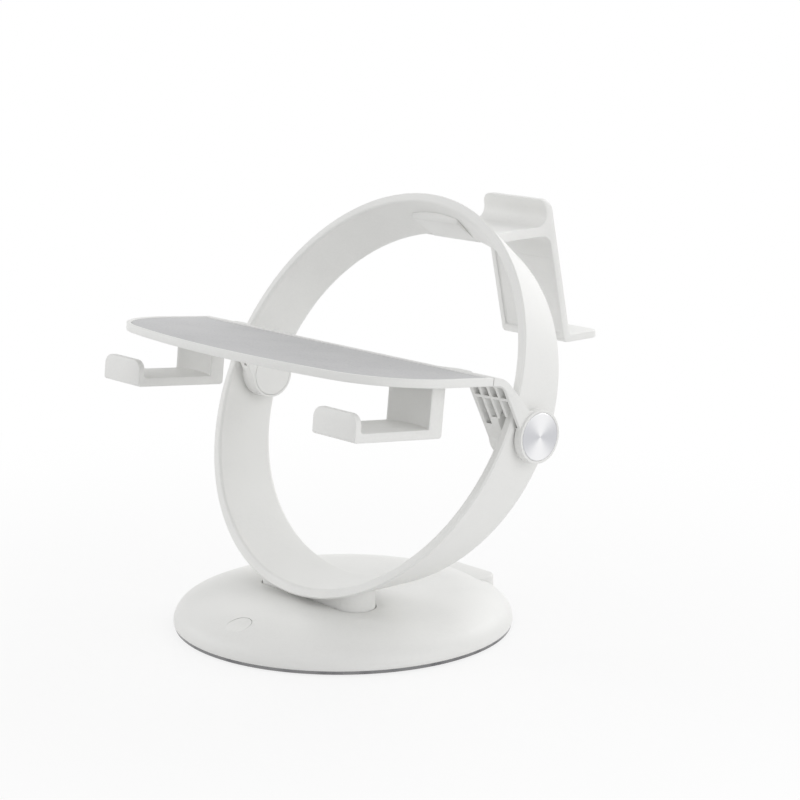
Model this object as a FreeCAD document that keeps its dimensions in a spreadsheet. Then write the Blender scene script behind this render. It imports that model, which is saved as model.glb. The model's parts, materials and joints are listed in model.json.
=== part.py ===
import FreeCAD, Part
import math
import os

import Sketcher

# A stand for a head-worn display. A round weighted base carries one broad leaning
# ring. A tray hangs in the ring on two friction pivots, with a hook under each side,
# and a cradle for the headband is fixed behind the top of the ring.
# Millimetres. +X is the right-hand side, -Y the front and +Z up. The origin is the
# middle of the foot pad's underside. The tray and everything that tilts with it is
# drawn level in a frame of its own, whose origin is the pivot axis.

SIZES = [
    ("base_radius", 80.6, "widest radius of the base cover"),
    ("base_height", 17.25, "top of the base cover"),
    ("base_waist", 2.0, "height of the cover's widest line, its lower edge"),
    ("base_wall", 2.4, "wall of the base cover"),
    ("crown_bend", 1000.0, "radius of the cover's nearly flat crown"),
    ("shoulder_bend", 60.0, "radius of the cover's shoulder"),
    ("edge_bend", 9.0, "radius of the cover's edge"),
    ("trim_inset", 0.6, "how far the bright trim ring stands inside the cover's edge"),
    ("trim_width", 3.6, "width of the trim ring"),
    ("plate_bottom", 0.8, "underside of the base plate"),
    ("plate_thick", 2.4, "thickness of the base plate"),
    ("pad_margin", 4.4, "width of the base plate between the pad and the trim"),
    ("pad_recess", 0.4, "how far the foot pad is let into the base plate"),
    ("ballast_inset", 20.6, "edge of the steel ballast inside the cover's edge"),
    ("ballast_thick", 6.0, "thickness of the steel ballast"),
    ("seat_gap", 0.2, "clearance round a piece let into another"),
    ("dimple_x", 5.0, "sideways place of the touch dimple"),
    ("dimple_inset", 14.1, "touch dimple inside the cover's front edge"),
    ("dimple_radius", 5.8, "radius of the touch dimple"),
    ("dimple_depth", 0.6, "depth of the touch dimple"),
    ("board_thick", 1.2, "thickness of the touch board"),
    ("spring_radius", 2.8, "radius of the touch spring"),
    ("housing_width", 48.0, "width of the port housing"),
    ("housing_inset", 1.1, "rear face of the port housing inside the cover's edge"),
    ("housing_top", 12.5, "top of the port housing"),
    ("housing_bend", 6.0, "corner radius of the port housing"),
    ("port_width", 9.2, "width of the charging port"),
    ("port_height", 3.4, "height of the charging port"),
    ("port_depth", 7.0, "depth of the charging port"),
    ("housing_edge", 0.8, "rounding of the port housing's top"),
    ("port_level", 7.6, "height of the charging port's middle"),
    ("ring_radius", 100.0, "outer radius of the ring's front edge"),
    ("ring_low_y", 32.265908, "how far the front edge's lowest point is in front of the middle"),
    ("ring_low_z", 19.592298, "height of the front edge's lowest point"),
    ("ring_front_lean", 25.7, "lean of the front edge's plane, degrees"),
    ("ring_side_taper", 2.3, "how much narrower the rear edge is, on each side"),
    ("ring_top_taper", 11.3, "how much lower the rear edge is, on each side"),
    ("ring_rear_low_y", 2.305532, "how far the rear edge's lowest point is behind the middle"),
    ("ring_rear_low_z", 19.543077, "height of the rear edge's lowest point"),
    ("ring_rear_lean", 23.8, "lean of the rear edge's plane, degrees"),
    ("ring_wall", 4.8, "thickness of the ring"),
    ("ring_soft_edge", 1.5, "rounding of the ring's inner edges"),
    ("ring_outer_edge", 0.8, "chamfer of the ring's outer edges"),
    ("foot_length", 72.5, "length of the ring's foot"),
    ("foot_width", 18.4, "width of the ring's foot"),
    ("foot_y", 15.5, "how far the foot lies in front of the middle"),
    ("foot_gap", 0.5, "gap between the foot and its slot in the cover"),
    ("foot_bolt_pitch", 48.0, "distance between the foot's two bolts"),
    ("foot_bolt_radius", 2.5, "radius of a foot bolt"),
    ("foot_bolt_head", 4.6, "radius of a foot bolt's head"),
    ("foot_bolt_grip", 9.0, "how far a foot bolt reaches into the foot"),
    ("pivot_back", 14.6, "distance of the pivot axis behind the front edge's centre"),
    ("pivot_drop", 6.0, "height of the front edge's centre above the pivot axis"),
    ("tray_tilt", 6.28, "how far the tray's nose is up at rest, degrees"),
    ("tray_top", 26.9, "top of the tray's lip above the pivot axis"),
    ("tray_rim", 3.7, "height of the tray's rim"),
    ("tray_nose", 104.0, "how far the tray's nose is in front of the axis"),
    ("tray_nose_bend", 330.0, "radius of the tray's front edge in plan"),
    ("tray_corner_bend", 40.0, "radius of the tray's front corners in plan"),
    ("tray_seam", 30.5, "how far the bracket seam is in front of the axis"),
    ("tray_back", 29.5, "how far the tray's rear edge is in front of the axis"),
    ("tray_step", 4.5, "how far the tray's rear corners reach further back"),
    ("step_inset", 8.9, "end of the rear edge's step from a bracket"),
    ("step_run", 8.0, "length of the rear edge's step across"),
    ("lip_width", 2.0, "width of the tray's lip"),
    ("mat_thick", 1.0, "thickness of the soft mat"),
    ("mat_sink", 0.4, "how far the mat lies below the lip"),
    ("inner_leg", 8.6, "thickness of the fork's inner leg"),
    ("outer_leg", 2.7, "thickness of the fork's outer leg"),
    ("boss_radius", 12.0, "radius of a bracket's round boss"),
    ("boss_step", 1.3, "how far a boss stands out of its bracket"),
    ("arm_knee_bend", 14.0, "radius of the arm's bend behind the tray"),
    ("arm_lower_bend", 6.0, "radius of the arm's bend under the tray"),
    ("arm_boss_bend", 5.0, "radius where the arm's back meets the boss"),
    ("arm_back_fall", 41.8, "fall of the arm's back, degrees"),
    ("arm_front_fall", 57.6, "fall of the arm's front, degrees"),
    ("arm_back_reach", 4.3, "distance of the arm's back from the pivot axis"),
    ("arm_front_reach", 7.6, "distance of the outer wall's front from the axis"),
    ("arm_inner_reach", 11.4, "distance of the inner wall's front from the axis"),
    ("skin_wall", 2.0, "skin over the bracket's cells"),
    ("side_wall", 1.5, "side walls of the bracket's cells"),
    ("rib_wall", 1.2, "ribs between the bracket's cells"),
    ("leg_cell_low", 20.0, "lower end of a leg's cell round the boss, degrees"),
    ("leg_cell_high", 42.2, "upper end of a leg's cell round the boss, degrees"),
    ("cell_columns", 4, "columns of cells across a bracket"),
    ("upper_rib_drop", 6.6, "upper cross rib below the tray"),
    ("fork_ceiling", 16.9, "distance of the fork's ceiling from the pivot axis"),
    ("tilt_down", 15.0, "travel of the tray's nose downwards, degrees"),
    ("tilt_up", 8.0, "travel of the tray's nose upwards, degrees"),
    ("fork_inner_clear", 0.4, "clearance between the fork and the ring's hollow"),
    ("fork_outer_clear", 0.3, "clearance between the fork and the ring's outside"),
    ("washer_thick", 0.5, "thickness of a friction washer"),
    ("washer_radius", 9.0, "radius of a friction washer"),
    ("washer_gap", 0.1, "running gap between a washer and the ring"),
    ("ring_boss_radius", 11.0, "radius of the ring's flat bosses at the pivot"),
    ("pivot_radius", 3.0, "radius of a pivot bolt"),
    ("pivot_play", 0.06, "radial play of the ring on a pivot bolt"),
    ("pivot_head_radius", 5.4, "radius of a pivot bolt's head"),
    ("pivot_head_thick", 3.0, "thickness of a pivot bolt's head"),
    ("nut_flats", 10.0, "distance across a pivot nut's flats"),
    ("nut_thick", 1.6, "thickness of a pivot nut"),
    ("cap_radius", 10.7, "radius of an aluminium cap"),
    ("cap_thick", 1.3, "thickness of an aluminium cap"),
    ("cap_proud", 0.2, "how far a cap stands out of its boss"),
    ("inner_cap_thick", 1.0, "thickness of an inner cover"),
    ("tongue_width", 12.0, "width of a bracket's tongue under the tray"),
    ("tongue_length", 13.5, "length of a bracket's tongue"),
    ("tongue_thick", 1.5, "thickness of a bracket's tongue"),
    ("hook_inset", 25.7, "distance of a hook's middle from the tray's side"),
    ("hook_width", 28.1, "width of a hook"),
    ("hook_front", 97.0, "how far a hook's lip is in front of the axis"),
    ("hook_back", 47.4, "how far a hook's stem is in front of the axis"),
    ("hook_drop", 24.1, "a hook's underside below the tray's rim"),
    ("hook_shelf", 4.2, "thickness of a hook's shelf"),
    ("hook_lip", 3.2, "thickness of a hook's lip"),
    ("hook_rise", 12.3, "height of a hook's lip with the shelf"),
    ("hook_stem", 7.6, "thickness of a hook's stem at its sides"),
    ("hook_hollow", 28.0, "radius of the stem's hollow front"),
    ("hook_bend", 5.0, "radius of the lip's upper corners"),
    ("cradle_half", 22.0, "half width of the cradle"),
    ("cradle_root_half", 27.0, "half width of the cradle at the ring"),
    ("lap_half", 16.0, "half width of the cradle's lap"),
    ("cradle_lean", 11.9, "lean of the cradle's plate, degrees"),
    ("cradle_wall", 4.2, "thickness of the cradle's plate"),
    ("cradle_reach", 56.305532, "rear of the plate's foot behind the ring's rear top"),
    ("cradle_height", 59.4, "underside of the shelf below the bridge's top"),
    ("tab_rise", 12.7, "top of the cradle's tab above the bridge"),
    ("shelf_depth", 20.6, "depth of the cradle's shelf"),
    ("shelf_wall", 3.6, "thickness of the cradle's shelf"),
    ("bridge_drop", 0.856923, "top of the bridge below the ring's rear top"),
    ("bridge_wall", 5.0, "thickness of the cradle's bridge"),
    ("bridge_bend", 6.0, "radius between the bridge and the plate"),
    ("cradle_bend", 5.0, "radius of the cradle's corners"),
    ("flare_length", 26.4, "length over which the cradle widens to the ring"),
    ("lap_front", 3.6, "start of the lap behind the ring's front edge"),
    ("lap_rear", 1.2, "end of the lap in front of the ring's rear edge"),
    ("lap_sink", 4.3, "top of the lap below the ring's outside"),
    ("lap_nose", 6.4, "height of the lap's front end"),
    ("shelf_root", 2.9, "radius between the shelf and the plate"),
    ("panel_margin", 3.0, "rim round the recessed panel of the cradle"),
    ("panel_low", 4.5, "start of the recessed panel above the shelf"),
    ("panel_clear", 9.0, "distance of the recessed panel from the bridge"),
    ("panel_depth", 0.9, "depth of the recessed panel"),
    ("screw_radius", 1.5, "radius of a small screw"),
    ("screw_head_radius", 2.7, "radius of a small screw's sunk head"),
    ("screw_head_thick", 1.1, "thickness of a small screw's sunk head"),
    ("screw_inset", 2.7, "distance of a hook's screws from the stem's rear"),
    ("screw_pitch", 18.0, "distance between a hook's two screws"),
]


class Size:
    """A number that knows its present value and its formula on the sheet."""

    def __init__(self, value, formula):
        self.value = value
        self.formula = formula

    def __add__(self, other):
        return Size(self.value + number(other), f"({self.formula} + {written(other)})")

    def __radd__(self, other):
        return Size(number(other) + self.value, f"({written(other)} + {self.formula})")

    def __sub__(self, other):
        return Size(self.value - number(other), f"({self.formula} - {written(other)})")

    def __rsub__(self, other):
        return Size(number(other) - self.value, f"({written(other)} - {self.formula})")

    def __mul__(self, other):
        return Size(self.value * number(other), f"({self.formula} * {written(other)})")

    def __rmul__(self, other):
        return Size(number(other) * self.value, f"({written(other)} * {self.formula})")

    def __truediv__(self, other):
        return Size(self.value / number(other), f"({self.formula} / {written(other)})")

    def __rtruediv__(self, other):
        return Size(number(other) / self.value, f"({written(other)} / {self.formula})")

    def __neg__(self):
        return Size(-self.value, f"(0 - {self.formula})")


def number(item):
    return item.value if isinstance(item, Size) else float(item)


def written(item):
    return item.formula if isinstance(item, Size) else f"({float(item)!r})"


def root(item):
    return Size(math.sqrt(item.value), f"sqrt({item.formula})")


def sine(angle):
    return Size(math.sin(math.radians(angle.value)), f"sin({angle.formula})")


def cosine(angle):
    return Size(math.cos(math.radians(angle.value)), f"cos({angle.formula})")


doc = FreeCAD.newDocument("HeadsetStand")
sheet = doc.addObject("Spreadsheet::Sheet", "Sizes")
size = {}
for row, (alias, value, meaning) in enumerate(SIZES, start=1):
    sheet.set(f"A{row}", alias)
    sheet.set(f"B{row}", str(value))
    sheet.setAlias(f"B{row}", alias)
    sheet.set(f"C{row}", meaning)
    size[alias] = Size(float(value), f"Sizes.{alias}")


def follow(alias, item, meaning):
    """Name a size that follows from others, as a formula on the sheet."""
    row = len(size) + 1
    sheet.set(f"A{row}", alias)
    sheet.set(f"B{row}", "=" + item.formula.replace("Sizes.", ""))
    sheet.setAlias(f"B{row}", alias)
    sheet.set(f"C{row}", meaning)
    size[alias] = Size(item.value, f"Sizes.{alias}")


follow("trim_radius", size["base_radius"] - size["trim_inset"], "outer radius of the bright trim ring")
follow("pad_radius", size["trim_radius"] - size["trim_width"] - size["pad_margin"], "radius of the foot pad")
follow("ballast_radius", size["base_radius"] - size["ballast_inset"], "radius of the steel ballast")
follow("dimple_y", size["base_radius"] - size["dimple_inset"],
       "how far the touch dimple lies in front of the middle")
follow("housing_front", size["ballast_radius"], "hidden front face of the port housing")
follow("housing_back", size["base_radius"] - size["housing_inset"], "rear face of the port housing")
follow("ring_front_y", size["ring_radius"] * sine(size["ring_front_lean"]) - size["ring_low_y"],
       "depth of the front edge's centre")
follow("ring_front_z", size["ring_radius"] * cosine(size["ring_front_lean"]) + size["ring_low_z"],
       "height of the front edge's centre")
follow("ring_rear_width", size["ring_radius"] - size["ring_side_taper"], "half width of the rear edge")
follow("ring_rear_height", size["ring_radius"] - size["ring_top_taper"],
       "half height of the rear edge in its plane")
follow("ring_rear_y", size["ring_rear_height"] * sine(size["ring_rear_lean"]) + size["ring_rear_low_y"],
       "depth of the rear edge's centre")
follow("ring_rear_z", size["ring_rear_height"] * cosine(size["ring_rear_lean"]) + size["ring_rear_low_z"],
       "height of the rear edge's centre")
follow("ring_back_y", size["ring_rear_y"] + size["ring_rear_height"] * sine(size["ring_rear_lean"]),
       "depth of the rear edge's top")
follow("ring_back_z", size["ring_rear_z"] + size["ring_rear_height"] * cosine(size["ring_rear_lean"]),
       "height of the rear edge's top")
follow("pivot_y", size["ring_front_y"] + size["pivot_back"], "depth of the pivot axis")
follow("pivot_z", size["ring_front_z"] - size["pivot_drop"], "height of the pivot axis")
follow("fork_inner", size["ring_rear_width"] - size["ring_wall"] - size["fork_inner_clear"],
       "inner face of the fork")
follow("fork_outer", size["ring_radius"] + size["fork_outer_clear"], "outer face of the fork")
follow("arm_inner", size["fork_inner"] - size["inner_leg"], "inner face of a bracket")
follow("arm_outer", size["fork_outer"] + size["outer_leg"], "outer face of a bracket")
follow("boss_outer", size["arm_outer"] + size["boss_step"], "outer face of a bracket's boss")
follow("tray_half", size["arm_outer"], "half width of the tray, flush with the brackets")
follow("tray_step_to", size["arm_inner"] - size["step_inset"], "where the rear edge's step ends")
follow("tray_step_from", size["tray_step_to"] - size["step_run"], "where the rear edge's step starts")
follow("hook_middle", size["tray_half"] - size["hook_inset"], "sideways place of a hook's middle")
follow("bridge_top", size["ring_back_z"] - size["bridge_drop"], "top of the cradle's bridge")
follow("cradle_top", size["bridge_top"] + size["tab_rise"], "top of the cradle's tab")
follow("cradle_foot_z", size["bridge_top"] - size["cradle_height"], "height of the shelf's underside")
follow("cradle_foot_y", size["ring_back_y"] + size["cradle_reach"],
       "rear of the plate at the shelf's underside")
doc.recompute()

# Drawing helpers.

nodes = []


def bind(thing, path, item):
    """Tie a property to the sheet."""
    thing.setExpression(path, written(item))


def new_body(name, kept=True):
    """Start one piece; a kept piece is written out as a node."""
    body = doc.addObject("PartDesign::Body", name)
    body.Label = name
    if kept:
        nodes.append(body)
    return body


def hang_on_pivot(body):
    """Set a piece that is drawn level on the pivot axis and tilt it."""
    axis = FreeCAD.Vector(-1, 0, 0)
    turn = FreeCAD.Rotation(axis, size["tray_tilt"].value)
    place = FreeCAD.Vector(0, size["pivot_y"].value, size["pivot_z"].value)
    body.Placement = FreeCAD.Placement(place, turn)
    bind(body, "Placement.Base.y", size["pivot_y"])
    bind(body, "Placement.Base.z", size["pivot_z"])
    bind(body, "Placement.Rotation.Angle", size["tray_tilt"])
    return body


def new_sketch(body, name, plane, lift=0):
    """A sketch on one of the piece's own planes, moved along the plane's normal."""
    sketch = body.newObject("Sketcher::SketchObject", name)
    support = next(item for item in body.Origin.OriginFeatures if item.Role == plane)
    sketch.AttachmentSupport = [(support, "")]
    sketch.MapMode = "FlatFace"
    sketch.AttachmentOffset = FreeCAD.Placement(FreeCAD.Vector(0, 0, number(lift)), FreeCAD.Rotation())
    bind(sketch, "AttachmentOffset.Base.z", lift)
    return sketch


def hold(sketch, kind, item, *where):
    """Add one driving dimension that is tied to the sheet."""
    index = sketch.addConstraint(Sketcher.Constraint(kind, *where, number(item)))
    bind(sketch, f"Constraints[{index}]", item)


def draw_outline(sketch, corners, bends=None):
    """Draw a closed outline; bends maps a side to its radius, negative to bow inwards."""
    bends = bends or {}
    spots = [FreeCAD.Vector(number(x), number(y), 0) for x, y in corners]
    first = sketch.GeometryCount
    ends = []
    for side, start in enumerate(spots):
        stop = spots[(side + 1) % len(spots)]
        if side in bends:
            radius = number(bends[side])
            chord = stop - start
            across = FreeCAD.Vector(chord.y, -chord.x, 0).normalize()
            reach = math.copysign(1, radius)
            sag = abs(radius) - math.sqrt(radius ** 2 - (chord.Length / 2) ** 2)
            middle = (start + stop) / 2 + across * (sag * reach)
            sketch.addGeometry(Part.Arc(start, middle, stop))
            ends.append((1, 2) if reach > 0 else (2, 1))
        else:
            sketch.addGeometry(Part.LineSegment(start, stop))
            ends.append((1, 2))
    for side, (x, y) in enumerate(corners):
        following = (side + 1) % len(corners)
        sketch.addConstraint(Sketcher.Constraint(
            "Coincident", first + side, ends[side][1], first + following, ends[following][0]))
        hold(sketch, "DistanceX", x, -1, 1, first + side, ends[side][0])
        hold(sketch, "DistanceY", y, -1, 1, first + side, ends[side][0])
    for side, radius in bends.items():
        hold(sketch, "Radius", radius if number(radius) > 0 else -radius, first + side)


def draw_circle(sketch, radius, x=0, y=0):
    centre = FreeCAD.Vector(number(x), number(y), 0)
    index = sketch.addGeometry(Part.Circle(centre, FreeCAD.Vector(0, 0, 1), number(radius)))
    hold(sketch, "Radius", radius, index)
    hold(sketch, "DistanceX", x, -1, 1, index, 3)
    hold(sketch, "DistanceY", y, -1, 1, index, 3)


def draw_box(sketch, left, right, low, high):
    draw_outline(sketch, [(left, low), (right, low), (right, high), (left, high)])


def draw_slot(sketch, length, width, x=0, y=0):
    """A stadium: two straight sides and two round ends."""
    reach = (length - width) / 2
    half = width / 2
    corners = [(x - reach, y - half), (x + reach, y - half), (x + reach, y + half), (x - reach, y + half)]
    draw_outline(sketch, corners)
    base = sketch.GeometryCount - 4
    sketch.toggleConstruction(base + 1)
    sketch.toggleConstruction(base + 3)
    for side, low, high in ((1, 1, 2), (3, 3, 0)):
        spots = [FreeCAD.Vector(number(a), number(b), 0) for a, b in (corners[low], corners[high])]
        out = FreeCAD.Vector(number(half) if side == 1 else -number(half), 0, 0)
        arc = sketch.addGeometry(Part.Arc(spots[0], (spots[0] + spots[1]) / 2 + out, spots[1]))
        sketch.addConstraint(Sketcher.Constraint("Coincident", arc, 1, base + side, 1))
        sketch.addConstraint(Sketcher.Constraint("Coincident", arc, 2, base + side, 2))
        sketch.addConstraint(Sketcher.Constraint("PointOnObject", arc, 3, base + side))


def pad(body, sketch, name, length):
    """Raise a profile along its plane's normal."""
    feature = body.newObject("PartDesign::Pad", name)
    feature.Profile = sketch
    bind(feature, "Length", length)
    doc.recompute()
    return feature


def cut(body, sketch, name, length):
    """Sink a profile along its plane's normal and make sure that it takes material."""
    before = body.Shape.Volume
    feature = body.newObject("PartDesign::Pocket", name)
    feature.Profile = sketch
    feature.Reversed = True
    bind(feature, "Length", length)
    doc.recompute()
    if not body.Shape.Volume < before:
        raise RuntimeError(f"{name} takes nothing from {body.Label}")
    return feature


def spin(body, sketch, name, kind="PartDesign::Revolution"):
    """Turn a half section round the sketch's upright axis."""
    feature = body.newObject(kind, name)
    feature.Profile = sketch
    feature.ReferenceAxis = (sketch, ["V_Axis"])
    feature.Angle = 360
    doc.recompute()
    return feature


def dress(body, kind, name, radius, test):
    """Round or bevel the edges that a test picks."""
    base = body.Tip
    picked = [f"Edge{index}" for index, edge in enumerate(base.Shape.Edges, start=1) if test(edge)]
    if not picked:
        raise RuntimeError(f"{name} finds no edge on {body.Label}")
    feature = body.newObject(kind, name)
    feature.Base = (base, picked)
    bind(feature, "Radius" if kind.endswith("Fillet") else "Size", radius)
    doc.recompute()
    return feature


def along(edge, axis, *spot):
    """Whether an edge is straight along an axis through a spot given on the other two."""
    direction = edge.Vertexes[-1].Point - edge.Vertexes[0].Point
    if edge.Length - direction.Length > 0.001 or abs(direction[axis]) < 0.999 * direction.Length:
        return False
    others = [k for k in range(3) if k != axis]
    centre = edge.CenterOfMass
    return all(abs(centre[k] - number(s)) < 0.05 for k, s in zip(others, spot))


def disc(body, name, plane, start, length, radius, hole=None):
    """A flat disc or washer on an axis through the frame's origin."""
    sketch = new_sketch(body, f"{name}_outline", plane, start)
    draw_circle(sketch, radius)
    if hole is not None:
        draw_circle(sketch, hole)
    return pad(body, sketch, name, length)


def mirror(source, name):
    """The left-hand twin of a right-hand piece."""
    twin = doc.addObject("Part::Mirroring", name)
    twin.Label = name
    twin.Source = source
    twin.Base = FreeCAD.Vector(0, 0, 0)
    twin.Normal = FreeCAD.Vector(1, 0, 0)
    doc.recompute()
    nodes.append(twin)
    return twin


# The base cover: a shell whose crown, shoulder and edge run into each other.

plate_top = size["plate_bottom"] + size["plate_thick"]
ballast_top = plate_top + size["ballast_thick"]


def cover_arcs():
    """Centres, as radius and height, of the arcs of the cover's crown, shoulder and edge."""
    crown = size["crown_bend"]
    shoulder = size["shoulder_bend"]
    edge = size["edge_bend"]
    crown_z = size["base_height"] - crown
    run = size["base_radius"] - edge
    rise = size["base_waist"] - crown_z
    apart = root(run * run + rise * rise)
    far = crown - shoulder
    near = shoulder - edge
    share = (far * far - near * near + apart * apart) / (2 * apart)
    aside = root(far * far - share * share)
    middle = ((share * run - aside * rise) / apart, crown_z + (share * rise + aside * run) / apart)
    return (0, crown_z), middle, (run, size["base_waist"])


def arc_meeting(first, second, first_bend, second_bend, inset):
    """Where two arcs that run into each other meet, at a depth inside the skin."""
    reach = (second_bend - inset) / (first_bend - second_bend)
    return (second[0] + (second[0] - first[0]) * reach, second[1] + (second[1] - first[1]) * reach)


def make_base_cover():
    crown = size["crown_bend"]
    shoulder = size["shoulder_bend"]
    edge = size["edge_bend"]
    wall = size["base_wall"]
    top, middle, rim = cover_arcs()
    body = new_body("base_cover")
    sketch = new_sketch(body, "cover_section", "XZ_Plane")
    corners = [
        (0, size["base_height"] - wall),
        arc_meeting(top, middle, crown, shoulder, wall),
        arc_meeting(middle, rim, shoulder, edge, wall),
        (size["base_radius"] - wall, size["base_waist"]),
        (size["base_radius"], size["base_waist"]),
        arc_meeting(middle, rim, shoulder, edge, 0),
        arc_meeting(top, middle, crown, shoulder, 0),
        (0, size["base_height"]),
    ]
    bends = {0: -(crown - wall), 1: -(shoulder - wall), 2: -(edge - wall), 4: edge, 5: shoulder, 6: crown}
    draw_outline(sketch, corners, bends)
    spin(body, sketch, "cover_shell")
    slot = new_sketch(body, "foot_slot_outline", "XY_Plane", plate_top)
    gap = 2 * size["foot_gap"]
    draw_slot(slot, size["foot_length"] + gap, size["foot_width"] + gap, 0, -size["foot_y"])
    cut(body, slot, "foot_slot", size["base_height"])
    notch = new_sketch(body, "housing_notch_outline", "XY_Plane", 0)
    half = size["housing_width"] / 2 + size["seat_gap"]
    draw_box(notch, -half, half, size["housing_front"] - size["seat_gap"], 2 * size["base_radius"])
    cut(body, notch, "housing_notch", size["housing_top"] + size["seat_gap"])
    dish = body.newObject("PartDesign::SubtractiveSphere", "touch_dimple")
    spread = size["dimple_radius"] * size["dimple_radius"]
    ball = 1 / (2 * size["dimple_depth"] / spread - 1 / shoulder)
    out, share_out, share_up = dimple_direction()
    reach = shoulder + ball - size["dimple_depth"]
    bind(dish, "Radius", ball)
    bind(dish, "Placement.Base.x", size["dimple_x"] * (middle[0] + share_out * reach) / out)
    bind(dish, "Placement.Base.y", -size["dimple_y"] * (middle[0] + share_out * reach) / out)
    bind(dish, "Placement.Base.z", middle[1] + share_up * reach)
    doc.recompute()
    return body


def dimple_direction():
    """Distance of the dimple from the middle, and the way out of the skin there."""
    shoulder = size["shoulder_bend"]
    middle = cover_arcs()[1]
    out = root(size["dimple_x"] * size["dimple_x"] + size["dimple_y"] * size["dimple_y"])
    share_out = (out - middle[0]) / shoulder
    return out, share_out, root(1 - share_out * share_out)


def skin_low(out):
    """Height of the inside of the cover's shoulder at a distance from the middle."""
    inside = size["shoulder_bend"] - size["base_wall"]
    middle = cover_arcs()[1]
    return middle[1] + root(inside * inside - (out - middle[0]) * (out - middle[0]))


def make_base_inside():
    waist = size["base_waist"]
    inner = size["trim_radius"] - size["trim_width"]
    low = size["plate_bottom"]
    recess = low + size["pad_recess"]

    trim = new_body("trim_ring")
    sketch = new_sketch(trim, "trim_section", "XZ_Plane")
    draw_box(sketch, inner, size["trim_radius"], low - size["pad_recess"], waist)
    spin(trim, sketch, "trim_band")

    plate = new_body("base_plate")
    sketch = new_sketch(plate, "plate_section", "XZ_Plane")
    flange = size["base_radius"] - size["base_wall"] - size["seat_gap"]
    stop = inner - size["seat_gap"]
    pad_edge = size["pad_radius"] + size["seat_gap"]
    corners = [(0, recess), (pad_edge, recess), (pad_edge, low), (stop, low),
               (stop, waist), (flange, waist), (flange, plate_top), (0, plate_top)]
    draw_outline(sketch, corners)
    spin(plate, sketch, "plate_disc")
    drill_foot_bolts(plate, 0, plate_top, size["foot_bolt_head"], "plate_bolt_holes")

    ballast = new_body("ballast_plate")
    disc(ballast, "ballast_disc", "XY_Plane", plate_top, size["ballast_thick"], size["ballast_radius"])
    drill_foot_bolts(ballast, plate_top, size["ballast_thick"], size["foot_bolt_radius"],
                     "ballast_bolt_holes")

    foot_pad = new_body("foot_pad")
    disc(foot_pad, "foot_pad_disc", "XY_Plane", 0, recess, size["pad_radius"])


def drill_foot_bolts(body, start, depth, radius, name):
    holes = new_sketch(body, f"{name}_outline", "XY_Plane", start)
    for side in (-1, 1):
        draw_circle(holes, radius + size["seat_gap"], size["foot_bolt_pitch"] * (side / 2), -size["foot_y"])
    cut(body, holes, name, depth)


def make_port():
    half = size["housing_width"] / 2
    housing = new_body("port_housing")
    sketch = new_sketch(housing, "housing_outline", "XY_Plane", plate_top)
    draw_box(sketch, -half, half, size["housing_front"], size["housing_back"])
    pad(housing, sketch, "housing_block", size["housing_top"] - plate_top)
    back = size["housing_back"]
    dress(housing, "PartDesign::Fillet", "housing_corners", size["housing_bend"],
          lambda edge: along(edge, 2, half, back) or along(edge, 2, -half, back))
    dress(housing, "PartDesign::Fillet", "housing_soft_top", size["housing_edge"], is_housing_top)
    port = new_sketch(housing, "port_outline", "XZ_Plane", -size["housing_back"])
    draw_slot(port, size["port_width"], size["port_height"], 0, size["port_level"])
    cut(housing, port, "port_opening", size["port_depth"])

    inlet = new_body("inlet_socket")
    sketch = new_sketch(inlet, "socket_outline", "XZ_Plane", size["port_depth"] - size["housing_back"])
    shrink = size["seat_gap"] * 2
    draw_slot(sketch, size["port_width"] - shrink, size["port_height"] - shrink, 0, size["port_level"])
    feature = pad(inlet, sketch, "socket_shell", size["port_depth"] - size["seat_gap"])
    feature.Reversed = True
    mouth = new_sketch(inlet, "socket_mouth", "XZ_Plane", size["seat_gap"] - size["housing_back"])
    shrink = size["seat_gap"] * 5
    draw_slot(mouth, size["port_width"] - shrink, size["port_height"] - shrink, 0, size["port_level"])
    cut(inlet, mouth, "socket_hollow", size["port_depth"] - size["seat_gap"] * 5)


def is_housing_top(edge):
    """The edges round the housing's top, apart from the hidden one in front."""
    box = edge.BoundBox
    return box.ZMin > size["housing_top"].value - 0.01 and box.YMax > size["housing_front"].value + 1


def make_touch_sensor():
    """A small board on the base plate with a spring that presses up under the dimple."""
    x = size["dimple_x"]
    y = -size["dimple_y"]
    reach = size["dimple_radius"]
    board = new_body("touch_board")
    sketch = new_sketch(board, "board_outline", "XY_Plane", plate_top)
    draw_box(sketch, x - 2 * reach, x + 2 * reach, y - reach, y + reach)
    pad(board, sketch, "board_plate", size["board_thick"])
    spring = new_body("touch_spring")
    start = plate_top + size["board_thick"]
    sketch = new_sketch(spring, "spring_outline", "XY_Plane", start)
    draw_circle(sketch, size["spring_radius"], x, y)
    far = size["dimple_y"] + size["spring_radius"] + size["seat_gap"]
    pad(spring, sketch, "spring_post", skin_low(far) - size["dimple_depth"] - start)


make_base_cover()
make_base_inside()
make_port()
make_touch_sensor()

# The ring: one tapered band lofted from a leaning circle to a leaning ellipse, with
# the foot that stands in the base. The hollow is a second loft.


def ring_sketch(body, name, y, z, lean):
    sketch = new_sketch(body, name, "XZ_Plane")
    turn = FreeCAD.Rotation(FreeCAD.Vector(-1, 0, 0), lean.value)
    sketch.AttachmentOffset = FreeCAD.Placement(FreeCAD.Vector(0, z.value, -y.value), turn)
    bind(sketch, "AttachmentOffset.Base.y", z)
    bind(sketch, "AttachmentOffset.Base.z", -y)
    bind(sketch, "AttachmentOffset.Rotation.Angle", lean)
    return sketch


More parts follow.
